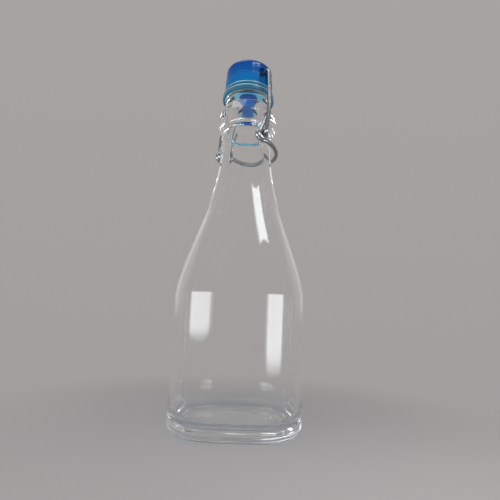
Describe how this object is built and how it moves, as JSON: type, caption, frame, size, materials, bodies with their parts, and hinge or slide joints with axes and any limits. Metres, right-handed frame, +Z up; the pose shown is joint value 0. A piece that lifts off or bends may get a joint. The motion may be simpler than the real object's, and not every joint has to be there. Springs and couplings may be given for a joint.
{
  "type": "swing top bottle",
  "caption": "Clear glass bottle with a rounded square body, sloping shoulders and a round neck, shut by a plastic stopper on a toggle of bent wire.",
  "frame": {"origin": "centre of the flat base, on the surface that the bottle stands on", "axes": "+Z up the bottle's axis through the mouth; X and Y square to the body's flat sides, -Y to the viewer"},
  "size_m": [0.0738, 0.0738, 0.2261],
  "materials": {
    "clear_glass": "clear, polished",
    "blue_plastic": "translucent, glossy",
    "turquoise_rubber": "translucent, satin",
    "steel_wire": "drawn, bright"
  },
  "bodies": {
    "bottle": {"bottle": "clear_glass"},
    "lever": {"lever_wire": "steel_wire"},
    "bail": {"bail_wire": "steel_wire"},
    "stopper": {"stopper": "blue_plastic", "gasket": "turquoise_rubber"}
  },
  "joints": [
    {"name": "lever_pivot", "type": "hinge", "parent": "bottle", "child": "lever", "pos_m": [0, 0, 0.1865], "axis": [0.5878, -0.809, 0], "range_deg": [0, 140]},
    {"name": "bail_hook", "type": "hinge", "parent": "lever", "child": "bail", "pos_m": [-0.00283, -0.00206, 0.1717], "axis": [0.5878, -0.809, 0], "range_deg": [-98, 0]},
    {"name": "stopper_pivot", "type": "hinge", "parent": "bail", "child": "stopper", "pos_m": [0, 0, 0.2177], "axis": [0.5878, -0.809, 0], "range_deg": [-42, 0]}
  ],
  "couplings": [
    {"joint": "bail_hook", "follows": "lever_pivot", "ratio": -0.7},
    {"joint": "stopper_pivot", "follows": "lever_pivot", "ratio": -0.3}
  ]
}
